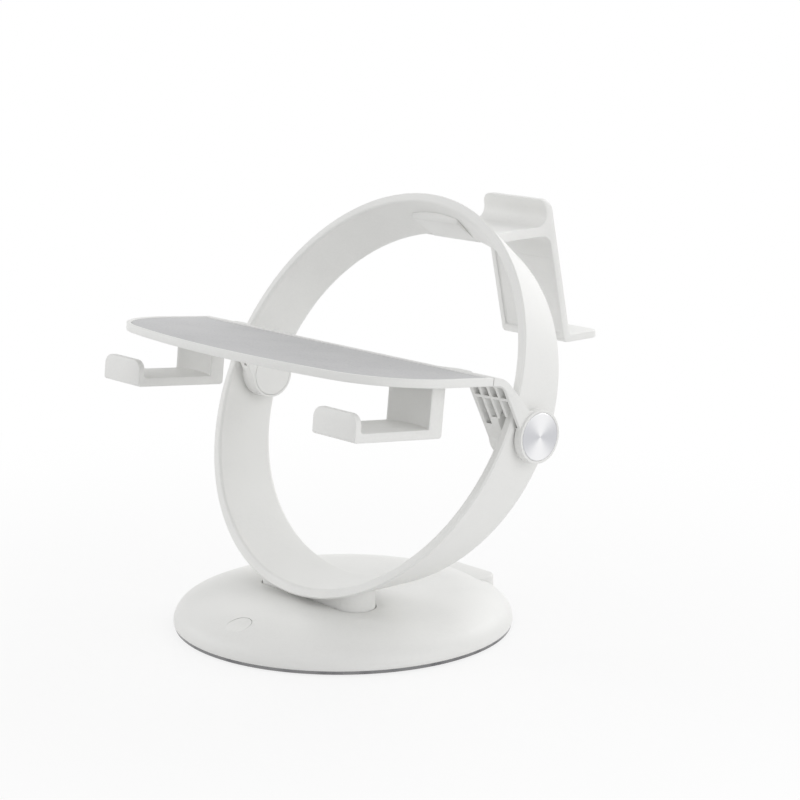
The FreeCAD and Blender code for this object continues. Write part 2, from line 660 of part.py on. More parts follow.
def ring_sections(body, name, inset):
    """The front circle and the rear ellipse, both drawn in by the same inset."""
    front = ring_sketch(body, f"{name}_front", size["ring_front_y"], size["ring_front_z"],
                        size["ring_front_lean"])
    draw_circle(front, size["ring_radius"] - inset)
    rear = ring_sketch(body, f"{name}_rear", size["ring_rear_y"], size["ring_rear_z"],
                       size["ring_rear_lean"])
    wide = size["ring_rear_width"] - inset
    tall = size["ring_rear_height"] - inset
    rear.addGeometry(Part.Ellipse(FreeCAD.Vector(wide.value, 0, 0), FreeCAD.Vector(0, tall.value, 0),
                                  FreeCAD.Vector(0, 0, 0)))
    rear.addConstraint(Sketcher.Constraint("Coincident", 0, 3, -1, 1))
    rear.exposeInternalGeometry(0)
    rear.addConstraint(Sketcher.Constraint("PointOnObject", 1, 1, -1))
    hold(rear, "Distance", 2 * wide, 1)
    hold(rear, "Distance", 2 * tall, 2)
    return front, rear


def ring_loft(body, name, kind, inset):
    front, rear = ring_sections(body, name, inset)
    loft = body.newObject(kind, name)
    loft.Profile = front
    loft.Sections = [rear]
    loft.Ruled = True
    doc.recompute()
    return loft


def make_ring():
    body = new_body("ring_frame")
    wall = size["ring_wall"]
    ring_loft(body, "band_outside", "PartDesign::AdditiveLoft", Size(0.0, "0"))
    foot = new_sketch(body, "foot_outline", "XY_Plane", ballast_top)
    draw_slot(foot, size["foot_length"], size["foot_width"], 0, -size["foot_y"])
    lowest = size["ring_front_z"] - size["ring_radius"] * cosine(size["ring_front_lean"])
    pad(body, foot, "ring_foot", lowest + 2 * wall - ballast_top)
    ring_loft(body, "band_hollow", "PartDesign::SubtractiveLoft", wall)
    dress(body, "PartDesign::Fillet", "band_inner_edges", size["ring_soft_edge"], is_inner_rim)
    dress(body, "PartDesign::Chamfer", "band_outer_edges", size["ring_outer_edge"], is_outer_rim)
    inner = size["fork_inner"] + size["washer_thick"] + size["washer_gap"]
    outer = size["fork_outer"] - size["washer_thick"] - size["washer_gap"]
    for side, start in (("right", inner), ("left", -outer)):
        boss = new_sketch(body, f"{side}_boss_outline", "YZ_Plane", start)
        draw_circle(boss, size["ring_boss_radius"], size["pivot_y"], size["pivot_z"])
        pad(body, boss, f"{side}_pivot_boss", outer - inner)
    bore = new_sketch(body, "pivot_bore_outline", "YZ_Plane", -size["boss_outer"])
    draw_circle(bore, size["pivot_radius"] + size["pivot_play"], size["pivot_y"], size["pivot_z"])
    cut(body, bore, "pivot_bores", 2 * size["boss_outer"])
    holes = new_sketch(body, "foot_holes_outline", "XY_Plane", ballast_top)
    for side in (-1, 1):
        draw_circle(holes, size["foot_bolt_radius"] + size["seat_gap"] / 2,
                    size["foot_bolt_pitch"] * (side / 2), -size["foot_y"])
    cut(body, holes, "foot_holes", size["foot_bolt_grip"] + size["seat_gap"])
    return body


def is_inner_rim(edge):
    """The two closed edges of the hollow."""
    return is_band_rim(edge, size["ring_wall"].value)


def is_outer_rim(edge):
    """The two closed edges of the outside."""
    return is_band_rim(edge, 0)


def is_band_rim(edge, inset):
    """Whether a closed edge is as wide as the front or the rear of the band."""
    width = edge.BoundBox.XLength / 2 + inset
    limits = (size["ring_radius"].value, size["ring_rear_width"].value)
    return len(edge.Vertexes) == 1 and min(abs(width - limit) for limit in limits) < 0.4


def make_foot_bolts():
    bolt = new_body("foot_bolt_right")
    head = new_sketch(bolt, "foot_bolt_head_outline", "XY_Plane", size["plate_bottom"] + size["pad_recess"])
    x = size["foot_bolt_pitch"] / 2
    draw_circle(head, size["foot_bolt_head"], x, -size["foot_y"])
    pad(bolt, head, "foot_bolt_head_disc", size["plate_thick"] - size["pad_recess"])
    shank = new_sketch(bolt, "foot_bolt_shank_outline", "XY_Plane", plate_top)
    draw_circle(shank, size["foot_bolt_radius"], x, -size["foot_y"])
    pad(bolt, shank, "foot_bolt_shank", size["ballast_thick"] + size["foot_bolt_grip"])
    mirror(bolt, "foot_bolt_left")


ring = make_ring()
make_foot_bolts()

# The cradle: an upright leaning plate with a shelf behind it for the headband, held
# by a bridge that laps under the top of the ring and takes the ring's curve there.


def make_cradle():
    lean = size["cradle_lean"]
    slope = sine(lean) / cosine(lean)
    foot_y = size["cradle_foot_y"]
    foot_z = size["cradle_foot_z"]
    thick = size["cradle_wall"] / cosine(lean)

    def rear(z):
        return foot_y - (z - foot_z) * slope

    shelf_top = foot_z + size["shelf_wall"]
    bridge_low = size["bridge_top"] - size["bridge_wall"]
    ring_top_y = size["ring_front_y"] + size["ring_radius"] * sine(size["ring_front_lean"])
    ring_top_z = size["ring_front_z"] + size["ring_radius"] * cosine(size["ring_front_lean"])
    back_top_y = size["ring_back_y"]
    back_top_z = size["ring_back_z"]
    fall = (ring_top_z - back_top_z) / (back_top_y - ring_top_y)
    lap_start = ring_top_y + size["lap_front"]
    lap_top = ring_top_z - fall * (lap_start - ring_top_y) - size["lap_sink"]
    lap_end = back_top_y - size["lap_rear"]
    lap_low = back_top_z - fall * (lap_end - back_top_y) - size["lap_sink"]
    raw = new_body("cradle_blank", kept=False)
    section = new_sketch(raw, "cradle_section", "YZ_Plane", -size["cradle_root_half"])
    corners = [
        (rear(foot_z) - thick, foot_z),
        (foot_y + size["shelf_depth"], foot_z),
        (foot_y + size["shelf_depth"], shelf_top),
        (rear(shelf_top), shelf_top),
        (rear(size["cradle_top"]), size["cradle_top"]),
        (rear(size["cradle_top"]) - thick, size["cradle_top"]),
        (rear(size["bridge_top"]) - thick, size["bridge_top"]),
        (lap_end, size["bridge_top"]),
        (lap_end, lap_low),
        (lap_start, lap_top),
        (lap_start, lap_top - size["lap_nose"]),
        (lap_end, bridge_low),
        (rear(bridge_low) - thick, bridge_low),
    ]
    draw_outline(section, corners)
    pad(raw, section, "cradle_bar", 2 * size["cradle_root_half"])
    dress(raw, "PartDesign::Fillet", "bridge_bends", size["bridge_bend"],
          lambda edge: along(edge, 0, *corners[6]) or along(edge, 0, *corners[12]))
    dress(raw, "PartDesign::Fillet", "shelf_bends", size["shelf_root"],
          lambda edge: along(edge, 0, *corners[3]) or along(edge, 0, *corners[0]))
    plan = new_sketch(raw, "cradle_plan", "XY_Plane", 0)
    neck = size["cradle_root_half"] - size["cradle_half"]
    waist_y = back_top_y + size["flare_length"]
    far = foot_y + 2 * size["shelf_depth"]
    radius = (size["flare_length"] * size["flare_length"] + neck * neck) / (2 * neck)
    for side in (-1, 1):
        outline = [
            (side * size["cradle_half"], waist_y),
            (side * size["cradle_half"], far),
            (side * 2 * size["cradle_root_half"], far),
            (side * 2 * size["cradle_root_half"], 0),
            (side * size["lap_half"], 0),
            (side * size["lap_half"], back_top_y),
            (side * size["cradle_root_half"], back_top_y),
        ]
        draw_outline(plan, outline, {6: radius if side < 0 else -radius})
    cut(raw, plan, "cradle_waist", 2 * size["cradle_top"])
    dress(raw, "PartDesign::Fillet", "tab_corners", size["cradle_bend"], is_tab_corner)
    dress(raw, "PartDesign::Fillet", "shelf_corners", size["cradle_bend"], is_shelf_corner)
    panel = new_sketch(raw, "cradle_panel", "XZ_Plane")
    turn = FreeCAD.Rotation(FreeCAD.Vector(1, 0, 0), lean.value)
    front_y = rear(foot_z) - thick
    panel.AttachmentOffset = FreeCAD.Placement(
        FreeCAD.Vector(0, foot_z.value, -front_y.value), turn)
    bind(panel, "AttachmentOffset.Base.y", foot_z)
    bind(panel, "AttachmentOffset.Base.z", -front_y)
    bind(panel, "AttachmentOffset.Rotation.Angle", lean)
    reach = size["cradle_half"] - size["panel_margin"]
    panel_top = (bridge_low - foot_z) / cosine(lean) - size["panel_clear"] - size["panel_margin"]
    draw_box(panel, -reach, reach, size["panel_low"], panel_top)
    feature = raw.newObject("PartDesign::Pocket", "panel_recess")
    feature.Profile = panel
    feature.Midplane = True
    bind(feature, "Length", 2 * size["panel_depth"])
    doc.recompute()
    cradle = doc.addObject("Part::Cut", "cradle")
    cradle.Label = "cradle"
    cradle.Base = raw
    cradle.Tool = ring
    doc.recompute()
    nodes.append(cradle)


def is_tab_corner(edge):
    """The short edges through the tab at its two upper corners."""
    box = edge.BoundBox
    return box.ZMin > size["cradle_top"].value - 0.01 and box.XLength < 0.01


def is_shelf_corner(edge):
    """The upright edges at the shelf's two rear corners."""
    box = edge.BoundBox
    upright = box.XLength < 0.01 and box.YLength < 0.01
    return upright and box.YMin > size["cradle_foot_y"].value + size["shelf_depth"].value - 0.01


make_cradle()

# The tray: a thin plate with a round-cornered front, a lip and a sunk mat.

rim_low = size["tray_top"] - size["tray_rim"]
mat_top = size["tray_top"] - size["mat_sink"]
mat_low = mat_top - size["mat_thick"]


def tray_corners(inset):
    """The tray's outline in plan, drawn in by an inset, up to a straight rear line."""
    half = size["tray_half"] - inset
    nose = size["tray_nose"] - inset
    nose_bend = size["tray_nose_bend"] - inset
    corner = size["tray_corner_bend"] - inset
    centre_x = size["tray_half"] - size["tray_corner_bend"]
    nose_centre = nose_bend - nose
    reach = root((nose_bend - corner) * (nose_bend - corner) - centre_x * centre_x)
    centre_y = nose_centre - reach
    scale = nose_bend / (nose_bend - corner)
    meet_x = centre_x * scale
    meet_y = nose_centre - reach * scale
    corners = [(-half, centre_y), (-meet_x, meet_y), (meet_x, meet_y), (half, centre_y)]
    bends = {0: corner, 1: nose_bend, 2: corner}
    return half, corners, bends


def make_tray():
    body = hang_on_pivot(new_body("tray_plate"))
    half, corners, bends = tray_corners(0)
    seam = -size["tray_seam"]
    back = -size["tray_back"]
    step = back + size["tray_step"]
    inner = size["arm_inner"] - size["seat_gap"]
    corners = corners + [
        (half, seam), (inner, seam), (inner, step), (size["tray_step_to"], step),
        (size["tray_step_from"], back), (-size["tray_step_from"], back),
        (-size["tray_step_to"], step), (-inner, step), (-inner, seam), (-half, seam),
    ]
    outline = new_sketch(body, "tray_outline", "XY_Plane", rim_low)
    draw_outline(outline, corners, bends)
    pad(body, outline, "tray_slab", size["tray_rim"])
    sunk = new_sketch(body, "mat_seat_outline", "XY_Plane", mat_low)
    lip = size["lip_width"]
    draw_mat(sunk, lip)
    cut(body, sunk, "mat_seat", size["tray_rim"])
    under = new_sketch(body, "tongue_seats_outline", "XY_Plane", rim_low)
    gap = size["seat_gap"]
    left, right = tongue_span()
    for side in (-1, 1):
        near = side * (left - gap)
        away = side * (right + gap)
        start = seam - size["tongue_length"] - gap
        pair = (near, away) if side > 0 else (away, near)
        draw_box(under, pair[0], pair[1], start, seam)
    cut(body, under, "tongue_seats", size["tongue_thick"])
    holes = new_sketch(body, "hook_holes_outline", "XY_Plane", rim_low)
    for x, y in hook_screw_spots():
        for side in (-1, 1):
            draw_circle(holes, size["screw_radius"] + gap / 2, side * x, y)
    cut(body, holes, "hook_holes", size["tray_rim"])
    heads = new_sketch(body, "screw_head_seats_outline", "XY_Plane", mat_low - size["screw_head_thick"])
    for x, y in hook_screw_spots():
        for side in (-1, 1):
            draw_circle(heads, size["screw_head_radius"] + gap / 2, side * x, y)
    cut(body, heads, "screw_head_seats", size["screw_head_thick"])

    mat = hang_on_pivot(new_body("tray_mat"))
    outline = new_sketch(mat, "mat_outline", "XY_Plane", mat_low)
    draw_mat(outline, lip + gap)
    pad(mat, outline, "mat_sheet", size["mat_thick"])


def draw_mat(sketch, inset):
    half, corners, bends = tray_corners(inset)
    back = -size["tray_back"] - inset
    corners = corners + [(half, back), (-half, back)]
    draw_outline(sketch, corners, bends)


def tongue_span():
    """Where a tongue starts and ends across the bracket."""
    middle = (size["arm_inner"] + size["arm_outer"]) / 2
    return middle - size["tongue_width"] / 2, middle + size["tongue_width"] / 2


def hook_screw_spots():
    """The two screws of the right-hand hook, as seen from above."""
    y = -size["hook_back"] - size["screw_inset"]
    half = size["screw_pitch"] / 2
    return [(size["hook_middle"] - half, y), (size["hook_middle"] + half, y)]


make_tray()

# The brackets: a forked arm lofted between two side profiles, with open ribbed cells
# at the front and a round boss on each leg of the fork.


def arm_spots(reach):
    """One side profile of the arm: seam, back, pivot and front."""
    back_fall = size["arm_back_fall"]
    front_fall = size["arm_front_fall"]
    top = size["tray_top"]
    seam = -size["tray_seam"]
    back_out = (sine(back_fall), cosine(back_fall))
    front_out = (-sine(front_fall), -cosine(front_fall))
    knee = (size["arm_back_reach"] - top * back_out[1]) / back_out[0]
    bend = (reach - rim_low * front_out[1]) / front_out[0]
    foot = (front_out[0] * reach, front_out[1] * reach)
    heel = (back_out[0] * size["arm_back_reach"], back_out[1] * size["arm_back_reach"])
    return [(seam, rim_low), (bend, rim_low), foot, heel, (knee, top), (seam, top)]


def cell_pitch():
    """Width of one cell and the step from one cell to the next."""
    inside = size["arm_outer"] - size["arm_inner"] - 2 * size["side_wall"]
    ribs = (size["cell_columns"] - 1) * size["rib_wall"]
    width = (inside - ribs) / size["cell_columns"]
    return width, width + size["rib_wall"]


def make_bracket():
    body = hang_on_pivot(new_body("bracket_right"))
    inner = new_sketch(body, "arm_inner_profile", "YZ_Plane", size["arm_inner"])
    inner_spots = arm_spots(size["arm_inner_reach"])
    draw_outline(inner, inner_spots)
    outer = new_sketch(body, "arm_outer_profile", "YZ_Plane", size["arm_outer"])
    spots = arm_spots(size["arm_front_reach"])
    draw_outline(outer, spots)
    arm = body.newObject("PartDesign::AdditiveLoft", "arm")
    arm.Profile = inner
    arm.Sections = [outer]
    arm.Ruled = True
    doc.recompute()
    boss = new_sketch(body, "boss_outline", "YZ_Plane", size["arm_inner"])
    draw_circle(boss, size["boss_radius"])
    pad(body, boss, "pivot_boss", size["boss_outer"] - size["arm_inner"])
    dress(body, "PartDesign::Fillet", "arm_knee", size["arm_knee_bend"],
          lambda edge: along(edge, 0, *spots[4]))
    low_bend = (spots[1][0] + inner_spots[1][0]) / 2
    reach = size["boss_radius"].value / 2
    dress(body, "PartDesign::Fillet", "arm_under_bend", size["arm_lower_bend"],
          lambda edge: abs(edge.CenterOfMass.y - low_bend.value) < 0.3
          and abs(edge.CenterOfMass.z - rim_low.value) < 0.1 and edge.BoundBox.XLength > reach)
    ahead = root(size["boss_radius"] * size["boss_radius"] - size["arm_back_reach"] * size["arm_back_reach"])
    fall = size["arm_back_fall"]
    meet_y = sine(fall) * size["arm_back_reach"] - cosine(fall) * ahead
    meet_z = cosine(fall) * size["arm_back_reach"] + sine(fall) * ahead
    dress(body, "PartDesign::Fillet", "arm_boss_bend", size["arm_boss_bend"],
          lambda edge: along(edge, 0, meet_y, meet_z))
    cut_cells(body)
    cut_fork(body)
    bore_bracket(body)
    tongue = new_sketch(body, "tongue_outline", "XY_Plane", rim_low)
    left, right = tongue_span()
    seam = -size["tray_seam"]
    draw_box(tongue, left, right, seam - size["tongue_length"], seam + size["side_wall"])
    pad(body, tongue, "tongue", size["tongue_thick"])
    return body


def cell_line(level):
    """The spot at one level on the inside of the skin along the arm's back."""
    back_fall = size["arm_back_fall"]
    reach = size["arm_back_reach"] - size["skin_wall"]
    return ((reach - level * cosine(back_fall)) / sine(back_fall), level)


def cut_cells(body):
    """Cells that are open to the front, in rows between two cross ribs."""
    width, pitch = cell_pitch()
    start = size["arm_inner"] + size["side_wall"]
    ahead = -size["tray_seam"] - size["tongue_length"]
    rib = size["rib_wall"]
    upper = rim_low - size["upper_rib_drop"]
    apex = size["fork_ceiling"] + rib * 1.5
    middle = fork_middle()
    lower = (cosine(middle) * apex, sine(middle) * apex)
    cells = new_sketch(body, "cell_profiles", "YZ_Plane", start)
    ceiling = rim_low - rib
    draw_outline(cells, [(ahead, upper + rib / 2), cell_line(upper + rib / 2), cell_line(ceiling),
                         (ahead, ceiling)])
    draw_outline(cells, [(ahead, lower[1]), lower, cell_line(lower[1] + 2 * rib),
                         cell_line(upper - rib / 2), (ahead, upper - rib / 2)])
    first = cut(body, cells, "cells", width)
    rows = body.newObject("PartDesign::LinearPattern", "cell_columns_row")
    rows.Originals = [first]
    rows.Direction = (cells, ["N_Axis"])
    bind(rows, "Length", pitch * (size["cell_columns"] - 1))
    bind(rows, "Occurrences", size["cell_columns"])
    body.Tip = rows
    doc.recompute()
    legs = new_sketch(body, "leg_cell_profiles", "YZ_Plane", start)
    rim = size["boss_radius"] - rib / 2
    top = cell_line(lower[1] + 3 * rib)
    foot = (-rim * cosine(size["leg_cell_low"]), rim * sine(size["leg_cell_low"]))
    bend = (-rim * cosine(size["leg_cell_high"]), rim * sine(size["leg_cell_high"]))
    draw_outline(legs, [(ahead, foot[1]), foot, bend, top, (ahead, top[1])])
    leg = cut(body, legs, "leg_cells", width)
    ends = body.newObject("PartDesign::LinearPattern", "leg_cell_pair")
    ends.Originals = [leg]
    ends.Direction = (legs, ["N_Axis"])
    bind(ends, "Length", pitch * (size["cell_columns"] - 1))
    ends.Occurrences = 2
    body.Tip = ends
    doc.recompute()


def fork_middle():
    """Direction of the fork ceiling's corner, between the two ends of the travel."""
    return 180 - size["ring_front_lean"] + size["tray_tilt"] + (size["tilt_up"] - size["tilt_down"]) / 2


def cut_fork(body):
    """The slot that the ring passes through, clear over the whole travel."""
    slot = new_sketch(body, "fork_outline", "YZ_Plane", size["fork_inner"])
    middle = fork_middle()
    half = (size["tilt_up"] + size["tilt_down"]) / 2
    apex = size["fork_ceiling"] / cosine(half)
    corner = (cosine(middle) * apex, sine(middle) * apex)
    reach = size["boss_radius"] * 4
    up = middle + half
    down = middle - half
    upper = (corner[0] + sine(up) * reach, corner[1] - cosine(up) * reach)
    lower = (corner[0] - sine(down) * reach, corner[1] + cosine(down) * reach)
    draw_outline(slot, [corner, lower, (reach, -reach), (reach, reach), upper])
    cut(body, slot, "fork_slot", size["fork_outer"] - size["fork_inner"])


def bore_bracket(body):
    """The bolt hole and the seats of the head, the nut and the two covers."""
    gap = size["seat_gap"]
    inner = size["arm_inner"]
    face = size["boss_outer"]
    cap_seat = face + size["cap_proud"] - size["cap_thick"]
    nut_corner = size["nut_flats"] / root(Size(3.0, "3"))
    nut_low = cap_seat - size["nut_thick"] - gap
    head_depth = size["inner_cap_thick"] + size["pivot_head_thick"] + gap
    steps = [
        ("bolt_hole", inner, face - inner, size["pivot_radius"] + gap / 4),
        ("inner_cover_seat", inner, size["inner_cap_thick"], size["cap_radius"] + gap),
        ("head_seat", inner, head_depth, size["pivot_head_radius"] + gap),
        ("cap_seat", cap_seat, size["cap_thick"], size["cap_radius"] + gap / 2),
        ("nut_seat", nut_low, cap_seat - nut_low, nut_corner + gap),
    ]
    for name, start, depth, radius in steps:
        sketch = new_sketch(body, f"{name}_outline", "YZ_Plane", start)
        draw_circle(sketch, radius)
        cut(body, sketch, name, depth)


def make_pivot():
    """The bolt, nut, friction washers and covers of the right-hand pivot."""
    gap = size["seat_gap"]
    face = size["boss_outer"]
    cap_start = face + size["cap_proud"] - size["cap_thick"]
    head_start = size["arm_inner"] + size["inner_cap_thick"] + gap
    head_end = head_start + size["pivot_head_thick"]
    nut_start = cap_start - size["nut_thick"] - gap
    pieces = []
    bolt = hang_on_pivot(new_body("pivot_bolt_right"))
    disc(bolt, "pivot_bolt_head", "YZ_Plane", head_start, size["pivot_head_thick"], size["pivot_head_radius"])
    disc(bolt, "pivot_bolt_shank", "YZ_Plane", head_end, cap_start - gap - head_end, size["pivot_radius"])
    pieces.append((bolt, "pivot_bolt_left"))
    nut = hang_on_pivot(new_body("pivot_nut_right"))
    sketch = new_sketch(nut, "nut_outline", "YZ_Plane", nut_start)
    flats = size["nut_flats"]
    half = flats / 2
    point = flats / root(Size(3.0, "3"))
    draw_outline(sketch, [(point, 0), (point / 2, half), (-point / 2, half), (-point, 0),
                          (-point / 2, -half), (point / 2, -half)])
    draw_circle(sketch, size["pivot_radius"] + gap / 4)
    pad(nut, sketch, "nut_hexagon", size["nut_thick"])
    pieces.append((nut, "pivot_nut_left"))
    for name, start in (("inner", size["fork_inner"]), ("outer", size["fork_outer"] - size["washer_thick"])):
        washer = hang_on_pivot(new_body(f"{name}_washer_right"))
        disc(washer, f"{name}_washer_disc", "YZ_Plane", start, size["washer_thick"], size["washer_radius"],
             size["pivot_radius"] + gap / 4)
        pieces.append((washer, f"{name}_washer_left"))
    cap = hang_on_pivot(new_body("cap_right"))
    disc(cap, "cap_disc", "YZ_Plane", cap_start, size["cap_thick"], size["cap_radius"])
    pieces.append((cap, "cap_left"))
    cover = hang_on_pivot(new_body("inner_cover_right"))
    disc(cover, "inner_cover_disc", "YZ_Plane", size["arm_inner"], size["inner_cap_thick"],
         size["cap_radius"])
    pieces.append((cover, "inner_cover_left"))
    for piece, twin in pieces:
        mirror(piece, twin)


mirror(make_bracket(), "bracket_left")
make_pivot()

# The hooks: a shelf with an upturned lip, hung from the tray on a hollow-fronted stem.


def make_hook():
    body = hang_on_pivot(new_body("hook_right"))
    left = size["hook_middle"] - size["hook_width"] / 2
    low = rim_low - size["hook_drop"]
    front = -size["hook_front"]
    back = -size["hook_back"]
    lip_top = low + size["hook_rise"]
    profile = new_sketch(body, "hook_profile", "YZ_Plane", left)
    draw_outline(profile, [
        (front, low), (back, low), (back, rim_low), (back - size["hook_stem"], rim_low),
        (back - size["hook_stem"], low + size["hook_shelf"]),
        (front + size["hook_lip"], low + size["hook_shelf"]),
        (front + size["hook_lip"], lip_top), (front, lip_top),
    ])
    pad(body, profile, "hook_bar", size["hook_width"])
    hollow = new_sketch(body, "stem_hollow_outline", "XY_Plane", low + size["hook_shelf"])
    half = size["hook_width"] / 2 - size["rib_wall"] / 2
    rise = root(size["hook_hollow"] * size["hook_hollow"] - half * half)
    middle = size["hook_middle"]
    near = back - size["hook_stem"]
    draw_outline(hollow, [(middle - half, near - rise), (middle + half, near - rise), (middle + half, near),
                          (middle - half, near)], {2: size["hook_hollow"]})
    cut(body, hollow, "stem_hollow", size["hook_drop"])
    dress(body, "PartDesign::Fillet", "lip_corners", size["hook_bend"], is_lip_corner)
    dress(body, "PartDesign::Fillet", "shelf_heel", size["side_wall"],
          lambda edge: along(edge, 0, back, low) or along(edge, 0, front, low))
    dress(body, "PartDesign::Fillet", "lip_root", size["side_wall"],
          lambda edge: along(edge, 0, front + size["hook_lip"], low + size["hook_shelf"]))
    holes = new_sketch(body, "stem_holes_outline", "XY_Plane", rim_low - size["hook_stem"] - size["seat_gap"])
    for x, y in hook_screw_spots():
        draw_circle(holes, size["screw_radius"] + size["seat_gap"] / 2, x, y)
    cut(body, holes, "stem_holes", size["hook_stem"] + 2 * size["seat_gap"])
    mirror(body, "hook_left")


def is_lip_corner(edge):
    """The short edges through the lip at its two upper corners."""
    box = edge.BoundBox
    top = rim_low.value - size["hook_drop"].value + size["hook_rise"].value
    short = box.XLength < 0.01 and box.ZLength < 0.01
    return short and abs(box.ZMin - top) < 0.01 and box.YMax < -size["hook_front"].value / 2


def make_hook_screws():
    start = rim_low - size["hook_stem"]
    head_low = mat_low - size["screw_head_thick"]
    for count, (x, y) in enumerate(hook_screw_spots(), start=1):
        screw = hang_on_pivot(new_body(f"hook_screw_right_{count}"))
        for part, low, high, radius in (("shank", start, head_low, size["screw_radius"]),
                                        ("head", head_low, mat_low, size["screw_head_radius"])):
            sketch = new_sketch(screw, f"hook_screw_{count}_{part}_outline", "XY_Plane", low)
            draw_circle(sketch, radius, x, y)
            pad(screw, sketch, f"hook_screw_{count}_{part}", high - low)
        mirror(screw, f"hook_screw_left_{count}")


make_hook()
make_hook_screws()


def check_and_write():
    """Refuse a model with a failed object or a broken shape, then write each node."""
    doc.recompute()
    for item in doc.Objects:
        if "Invalid" in item.State or "Error" in item.State:
            raise RuntimeError(f"{item.Label} failed: {item.State}")
    for node in nodes:
        if node.Shape.isNull() or not node.Shape.isValid():
            raise RuntimeError(f"{node.Label} has no valid shape")
    os.makedirs("parts", exist_ok=True)
    for node in nodes:
        node.Shape.exportStep(f"parts/{node.Label}.step")
        box = node.Shape.BoundBox
        spans = ((box.XMin, box.XMax), (box.YMin, box.YMax), (box.ZMin, box.ZMax))
        reach = ", ".join(f"{low:.1f}..{high:.1f}" for low, high in spans)
        print(f"{node.Label}: {len(node.Shape.Solids)} solid, {node.Shape.Volume:.0f} mm3, {reach}")


check_and_write()
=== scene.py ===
# %% [markdown]
# # A desk stand for a head-worn display
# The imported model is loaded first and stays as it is. It gives every solid piece its
# shape and place. What follows adds soft edges, the mat and the spun caps, gives
# every piece a finish, and sets up floor, light and camera.

# %% Load the model
import json
import math

import bpy
from mathutils import Matrix, Vector


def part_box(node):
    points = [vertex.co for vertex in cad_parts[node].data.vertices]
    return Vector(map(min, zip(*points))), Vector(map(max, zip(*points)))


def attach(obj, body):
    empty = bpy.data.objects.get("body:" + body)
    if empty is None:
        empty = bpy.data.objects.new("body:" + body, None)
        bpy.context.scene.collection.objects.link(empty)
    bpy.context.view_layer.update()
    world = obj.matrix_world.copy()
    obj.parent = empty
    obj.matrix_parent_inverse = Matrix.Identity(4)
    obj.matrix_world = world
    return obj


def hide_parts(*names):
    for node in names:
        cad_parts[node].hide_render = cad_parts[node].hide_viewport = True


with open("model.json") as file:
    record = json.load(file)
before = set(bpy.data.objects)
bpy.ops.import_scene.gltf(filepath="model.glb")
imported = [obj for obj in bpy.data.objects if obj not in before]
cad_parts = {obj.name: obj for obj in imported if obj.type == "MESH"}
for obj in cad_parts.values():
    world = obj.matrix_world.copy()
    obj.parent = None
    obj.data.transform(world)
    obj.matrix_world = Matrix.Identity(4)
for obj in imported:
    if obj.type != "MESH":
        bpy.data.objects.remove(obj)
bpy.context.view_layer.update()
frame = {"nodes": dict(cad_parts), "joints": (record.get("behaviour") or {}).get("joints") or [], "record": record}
nodes = frame["nodes"]
print("pieces loaded:", len(nodes))

# %% [markdown]
# The tray, its brackets and hooks tilt together about one axis through both pivots.
# The joint in the record says where that axis is, so no number is repeated for it.
# The tray is drawn tilted a little, nose down. A matrix that turns a level tray into
# the drawn one lets edges be found later in the tray's own directions.

# %% The pivot axis and the tilt of the tray
MM = 0.001
TRAY_TILT = math.radians(6.28)

pivot = Vector(frame["joints"][0]["pos_m"])
level_to_tilted = Matrix.Translation(pivot) @ Matrix.Rotation(-TRAY_TILT, 4, "X")
print("pivot axis at", [round(v / MM, 1) for v in pivot])

# %% [markdown]
# ## Shader arithmetic
# A finish is a chain of small sums: a pattern times a strength, plus a base value.
# Written with node calls, such a chain is hard to read. A small class that wraps a
# socket lets it be written as an expression, and each operator adds its Math node.


# %% A socket that can be calculated with
class Amount:
    """A shader value with ordinary arithmetic."""

    def __init__(self, finish, socket):
        self.finish = finish
        self.socket = socket

    def _sum(self, operation, first, second):
        return self.finish.node("ShaderNodeMath", {"operation": operation}, {0: first, 1: second})

    def __add__(self, other):
        return self._sum("ADD", self, other)

    __radd__ = __add__

    def __sub__(self, other):
        return self._sum("SUBTRACT", self, other)

    def __rsub__(self, other):
        return self._sum("SUBTRACT", other, self)

    def __mul__(self, other):
        return self._sum("MULTIPLY", self, other)

    __rmul__ = __mul__


# %% [markdown]
# A finish starts from one Principled shader. Values that are the same all over the
# piece are set on the shader's own sockets. Only colour, roughness and the bump that
# bends the normal change over the surface. Patterns read object coordinates in
# metres, so a grain of a tenth of a millimetre is that size on every piece.


